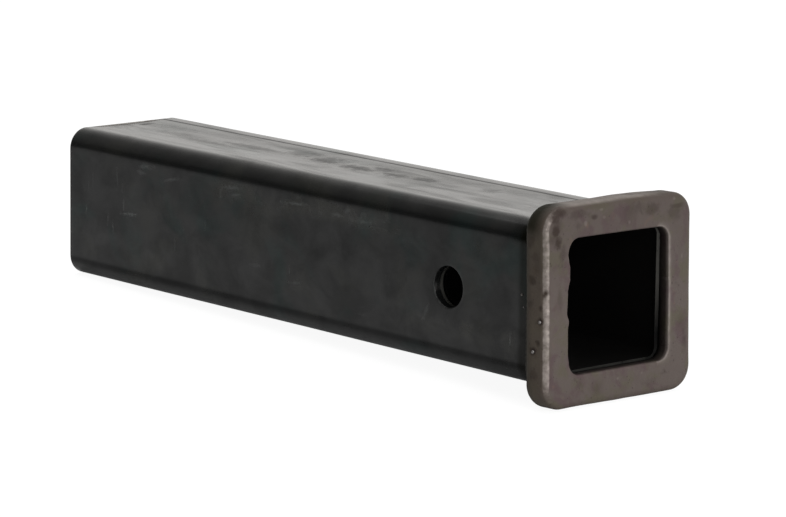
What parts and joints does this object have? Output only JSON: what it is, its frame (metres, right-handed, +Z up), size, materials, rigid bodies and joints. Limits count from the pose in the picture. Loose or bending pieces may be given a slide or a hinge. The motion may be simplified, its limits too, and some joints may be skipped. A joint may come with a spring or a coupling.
{
  "type": "receiver tube",
  "caption": "Square steel hitch receiver tube with a forged reinforcing collar welded round its mouth and a cross hole for the hitch pin.",
  "frame": {"origin": "centre of the pin hole, on the tube's own axis", "axes": "+Y along the pin hole; +Z up from the surface it lies on; +X towards the mouth, level, so that the tube's own axis rises by 1.4 degrees from +X towards the mouth, as it lies at rest"},
  "size_m": [0.3063, 0.0778, 0.0779],
  "materials": {
    "tube_steel": "black mill scale, uncoated",
    "forged_steel": "as forged, brown-grey scale with a little rust",
    "weld_metal": "as welded"
  },
  "bodies": {
    "root": {"receiver_tube": "tube_steel", "reinforcing_collar": "forged_steel", "collar_weld": "weld_metal"}
  },
  "joints": []
}
